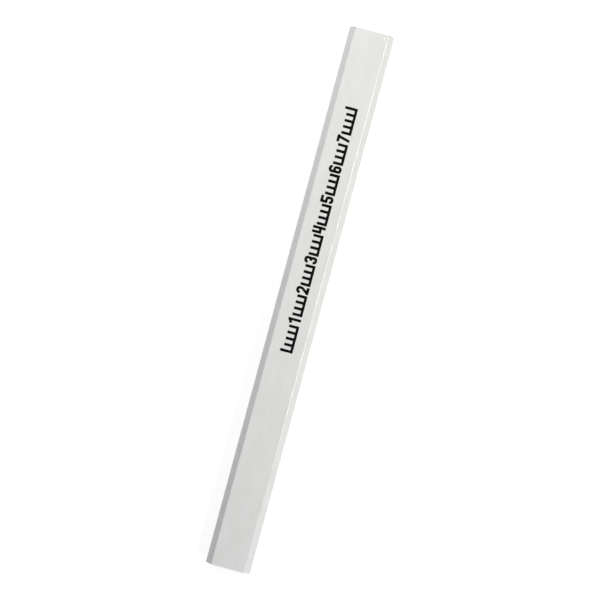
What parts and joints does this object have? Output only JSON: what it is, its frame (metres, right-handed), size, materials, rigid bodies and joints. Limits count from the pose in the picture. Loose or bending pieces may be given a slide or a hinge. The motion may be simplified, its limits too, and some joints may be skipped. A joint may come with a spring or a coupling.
{
  "type": "carpenter pencil",
  "caption": "Flat eight-sided carpenter pencil, unsharpened, with a white gloss casing round a flat lead and a plain measuring scale printed on one broad face.",
  "frame": {"origin": "centre of the lower broad face, on which the pencil rests", "axes": "+X along the pencil to the printed end, +Y across it, +Z out of the printed broad face"},
  "size_m": [0.1778, 0.0146, 0.007],
  "materials": {
    "casing_wood": "matte",
    "lead": "satin",
    "glue": "satin",
    "undercoat": "matte",
    "enamel": "gloss",
    "ink": "satin"
  },
  "bodies": {
    "root": {"slat_upper": "casing_wood", "slat_lower": "casing_wood", "lead_core": "lead", "lead_bed_glue": "glue", "seam_glue": "glue", "undercoat": "undercoat", "enamel_coat": "enamel", "imprint": "ink"}
  },
  "joints": []
}
